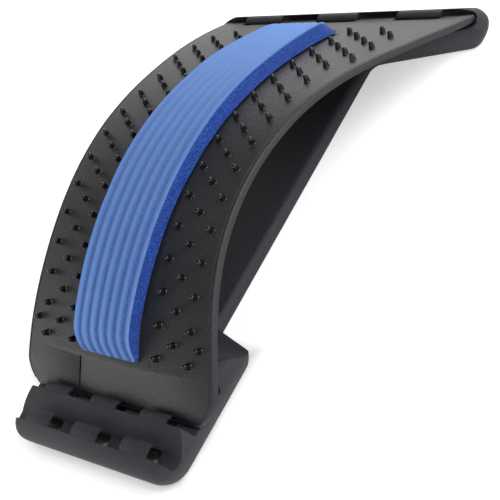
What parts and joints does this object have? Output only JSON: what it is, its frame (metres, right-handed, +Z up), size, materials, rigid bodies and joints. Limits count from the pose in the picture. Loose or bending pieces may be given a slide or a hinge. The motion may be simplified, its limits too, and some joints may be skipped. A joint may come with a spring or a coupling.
{
  "type": "arched back stretcher",
  "caption": "Arched lumbar stretcher: a flexible nubbed plate with a ribbed foam strip spans a ribbed base with a stepped hook rack.",
  "frame": {"origin": "centre of the outline seen from above, at the level of the four rubber feet", "axes": "+Z up, +Y from the hook rack towards the fixed rear seat, +X to the right when looking along +Y"},
  "size_m": [0.256, 0.3857, 0.0995],
  "materials": {
    "base_plastic": "moulded charcoal plastic, satin to matt",
    "plate_plastic": "charcoal plastic with a fine spark texture",
    "foam": "closed-cell foam, rounded ribs, matt",
    "adhesive": "double-sided foam tape",
    "foot_rubber": "matt rubber"
  },
  "bodies": {
    "base": {"base_frame": "base_plastic", "foot_front_left": "foot_rubber", "foot_front_right": "foot_rubber", "foot_rear_left": "foot_rubber", "foot_rear_right": "foot_rubber"},
    "arch": {"arch_plate": "plate_plastic", "foam_pad": "foam", "pad_adhesive_sheet": "adhesive"}
  },
  "joints": [
    {"name": "arch_lift", "type": "hinge", "parent": "base", "child": "arch", "pos_m": [0, 0.182, 0.021], "axis": [-1, 0, 0], "range_deg": [0, 30]}
  ]
}
